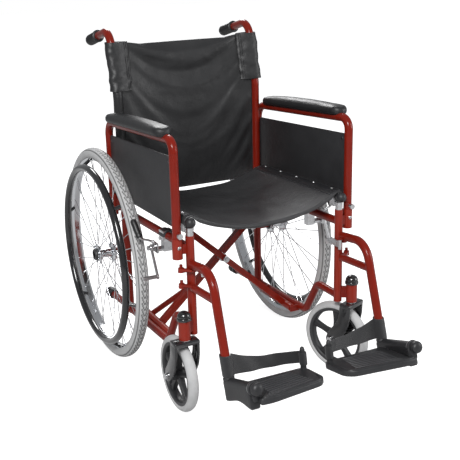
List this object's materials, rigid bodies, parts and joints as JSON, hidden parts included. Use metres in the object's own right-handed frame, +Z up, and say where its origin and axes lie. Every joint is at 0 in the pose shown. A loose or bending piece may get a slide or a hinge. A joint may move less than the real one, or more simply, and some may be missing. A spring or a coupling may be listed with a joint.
{
  "type": "folding wheelchair",
  "caption": "Folding self-propelled wheelchair with spoked rear wheels, swivel casters, lift-out armrests, swing-away footrests and a scissor cross frame.",
  "frame": {"origin": "on the floor, at the middle of the chair's overall width and length", "axes": "+Z up, -Y towards the front (the footrests), +X towards the sitter's left"},
  "size_m": [0.648, 1.114, 0.9279],
  "materials": {
    "red_paint": "gloss enamel",
    "black_paint": "gloss enamel",
    "chrome": "polished",
    "zinc": "bright zinc plate",
    "black_plastic": "fine moulded texture",
    "black_grip": "ribbed satin",
    "black_vinyl": "coated vinyl cloth",
    "webbing": "woven strap",
    "pad_skin": "smooth moulded skin",
    "grey_tyre": "light grey rubber"
  },
  "bodies": {
    "left_side": {"frame_left": "red_paint", "grip_left": "black_grip", "tip_cap_left": "black_grip", "axle_left": "zinc", "rail_saddle_left": "zinc", "caster_cap_left": "black_plastic", "brake_clamp_left": "zinc", "back": "black_vinyl"},
    "brake_lever_left": {"brake_lever_left": "black_grip"},
    "brake_shoe_left": {"brake_shoe_left": "zinc"},
    "armrest_left": {"armrest_frame_left": "red_paint", "arm_pad_left": "pad_skin", "side_panel_left": "black_plastic"},
    "arm_button_left": {"arm_button_left": "zinc"},
    "rear_wheel_left": {"hub_left": "chrome", "spokes_left": "chrome", "rim_left": "chrome", "tyre_left": "grey_tyre", "handrim_left": "black_paint"},
    "caster_fork_left": {"caster_fork_left": "black_paint", "caster_axle_left": "zinc"},
    "caster_wheel_left": {"caster_hub_left": "black_plastic", "caster_tyre_left": "grey_tyre"},
    "hanger_left": {"hanger_left": "red_paint"},
    "latch_left": {"hanger_latch_left": "zinc"},
    "footrest_left": {"footrest_bracket_left": "black_plastic", "heel_loop_left": "webbing"},
    "footplate_left": {"footplate_left": "black_plastic"},
    "right_side": {"frame_right": "red_paint", "grip_right": "black_grip", "tip_cap_right": "black_grip", "axle_right": "zinc", "rail_saddle_right": "zinc", "caster_cap_right": "black_plastic", "brake_clamp_right": "zinc"},
    "brake_lever_right": {"brake_lever_right": "black_grip"},
    "brake_shoe_right": {"brake_shoe_right": "zinc"},
    "armrest_right": {"armrest_frame_right": "red_paint", "arm_pad_right": "pad_skin", "side_panel_right": "black_plastic"},
    "arm_button_right": {"arm_button_right": "zinc"},
    "rear_wheel_right": {"hub_right": "chrome", "spokes_right": "chrome", "rim_right": "chrome", "tyre_right": "grey_tyre", "handrim_right": "black_paint"},
    "caster_fork_right": {"caster_fork_right": "black_paint", "caster_axle_right": "zinc"},
    "caster_wheel_right": {"caster_hub_right": "black_plastic", "caster_tyre_right": "grey_tyre"},
    "hanger_right": {"hanger_right": "red_paint"},
    "latch_right": {"hanger_latch_right": "zinc"},
    "footrest_right": {"footrest_bracket_right": "black_plastic", "heel_loop_right": "webbing"},
    "footplate_right": {"footplate_right": "black_plastic"},
    "crossbar_a": {"crossbar_a": "red_paint", "centre_bolt": "zinc", "seat": "black_vinyl"},
    "crossbar_b": {"crossbar_b": "red_paint"}
  },
  "joints": [
    {"name": "fold", "type": "hinge", "parent": "left_side", "child": "crossbar_a", "pos_m": [0.191, 0.068, 0.125], "axis": [0, 1, 0], "range_deg": [0, 40], "deforming": ["seat", "back", "heel_loop_left", "heel_loop_right"]},
    {"name": "cross_pivot", "type": "hinge", "parent": "crossbar_a", "child": "crossbar_b", "pos_m": [0, 0.068, 0.29835], "axis": [0, 1, 0], "range_deg": [-80, 0]},
    {"name": "right_pivot", "type": "hinge", "parent": "crossbar_b", "child": "right_side", "pos_m": [-0.191, 0.068, 0.125], "axis": [0, 1, 0], "range_deg": [0, 40]},
    {"name": "rear_wheel_left_spin", "type": "hinge", "parent": "left_side", "child": "rear_wheel_left", "pos_m": [0.28, 0.253, 0.304], "axis": [1, 0, 0], "continuous": true},
    {"name": "caster_left_swivel", "type": "hinge", "parent": "left_side", "child": "caster_fork_left", "pos_m": [0.247, -0.22, 0.25], "axis": [0, 0, 1], "continuous": true},
    {"name": "caster_left_roll", "type": "hinge", "parent": "caster_fork_left", "child": "caster_wheel_left", "pos_m": [0.22903, -0.17766, 0.1], "axis": [0.9205, 0.3907, 0], "continuous": true},
    {"name": "brake_left", "type": "hinge", "parent": "left_side", "child": "brake_lever_left", "pos_m": [0.258, -0.057, 0.407], "axis": [1, 0, 0], "range_deg": [0, 50]},
    {"name": "brake_left_shoe", "type": "hinge", "parent": "left_side", "child": "brake_shoe_left", "pos_m": [0.258, -0.057, 0.407], "axis": [1, 0, 0], "range_deg": [0, 28]},
    {"name": "armrest_left_lift", "type": "slide", "parent": "left_side", "child": "armrest_left", "axis": [0, 0, 1], "range_m": [0, 0.1]},
    {"name": "arm_button_left_press", "type": "slide", "parent": "armrest_left", "child": "arm_button_left", "axis": [-0.0169, 0.9999, 0], "range_m": [0, 0.004]},
    {"name": "hanger_left_swing", "type": "hinge", "parent": "left_side", "child": "hanger_left", "pos_m": [0.241, -0.201, 0.36], "axis": [0, 0, 1], "range_deg": [0, 90]},
    {"name": "latch_left_turn", "type": "hinge", "parent": "hanger_left", "child": "latch_left", "pos_m": [0.1985, -0.233, 0.387], "axis": [0, 0, 1], "range_deg": [0, 25]},
    {"name": "footrest_left_slide", "type": "slide", "parent": "hanger_left", "child": "footrest_left", "axis": [0, -0.3156, -0.9489], "range_m": [0, 0.06]},
    {"name": "footplate_left_flip", "type": "hinge", "parent": "footrest_left", "child": "footplate_left", "pos_m": [0.217, -0.405, 0.16951], "axis": [0, 0.9489, -0.3156], "range_deg": [0, 120]},
    {"name": "rear_wheel_right_spin", "type": "hinge", "parent": "right_side", "child": "rear_wheel_right", "pos_m": [-0.28, 0.253, 0.304], "axis": [1, 0, 0], "continuous": true},
    {"name": "caster_right_swivel", "type": "hinge", "parent": "right_side", "child": "caster_fork_right", "pos_m": [-0.247, -0.22, 0.25], "axis": [0, 0, 1], "continuous": true},
    {"name": "caster_right_roll", "type": "hinge", "parent": "caster_fork_right", "child": "caster_wheel_right", "pos_m": [-0.247, -0.174, 0.1], "axis": [1, 0, 0], "continuous": true},
    {"name": "brake_right", "type": "hinge", "parent": "right_side", "child": "brake_lever_right", "pos_m": [-0.258, -0.057, 0.407], "axis": [1, 0, 0], "range_deg": [0, 50]},
    {"name": "brake_right_shoe", "type": "hinge", "parent": "right_side", "child": "brake_shoe_right", "pos_m": [-0.258, -0.057, 0.407], "axis": [1, 0, 0], "range_deg": [0, 28]},
    {"name": "armrest_right_lift", "type": "slide", "parent": "right_side", "child": "armrest_right", "axis": [0, 0, 1], "range_m": [0, 0.1]},
    {"name": "arm_button_right_press", "type": "slide", "parent": "armrest_right", "child": "arm_button_right", "axis": [0.0169, 0.9999, 0], "range_m": [0, 0.004]},
    {"name": "hanger_right_swing", "type": "hinge", "parent": "right_side", "child": "hanger_right", "pos_m": [-0.241, -0.201, 0.36], "axis": [0, 0, -1], "range_deg": [0, 90]},
    {"name": "latch_right_turn", "type": "hinge", "parent": "hanger_right", "child": "latch_right", "pos_m": [-0.1985, -0.233, 0.387], "axis": [0, 0, -1], "range_deg": [0, 25]},
    {"name": "footrest_right_slide", "type": "slide", "parent": "hanger_right", "child": "footrest_right", "axis": [0, -0.3156, -0.9489], "range_m": [0, 0.06]},
    {"name": "footplate_right_flip", "type": "hinge", "parent": "footrest_right", "child": "footplate_right", "pos_m": [-0.217, -0.405, 0.16951], "axis": [0, -0.9489, 0.3156], "range_deg": [0, 120]}
  ],
  "couplings": [
    {"joint": "cross_pivot", "follows": "fold", "ratio": -2},
    {"joint": "right_pivot", "follows": "fold", "ratio": 1},
    {"joint": "brake_left_shoe", "follows": "brake_left", "ratio": 0.56},
    {"joint": "footplate_left_flip", "follows": "fold", "ratio": 3},
    {"joint": "brake_right_shoe", "follows": "brake_right", "ratio": 0.56},
    {"joint": "footplate_right_flip", "follows": "fold", "ratio": 3}
  ]
}
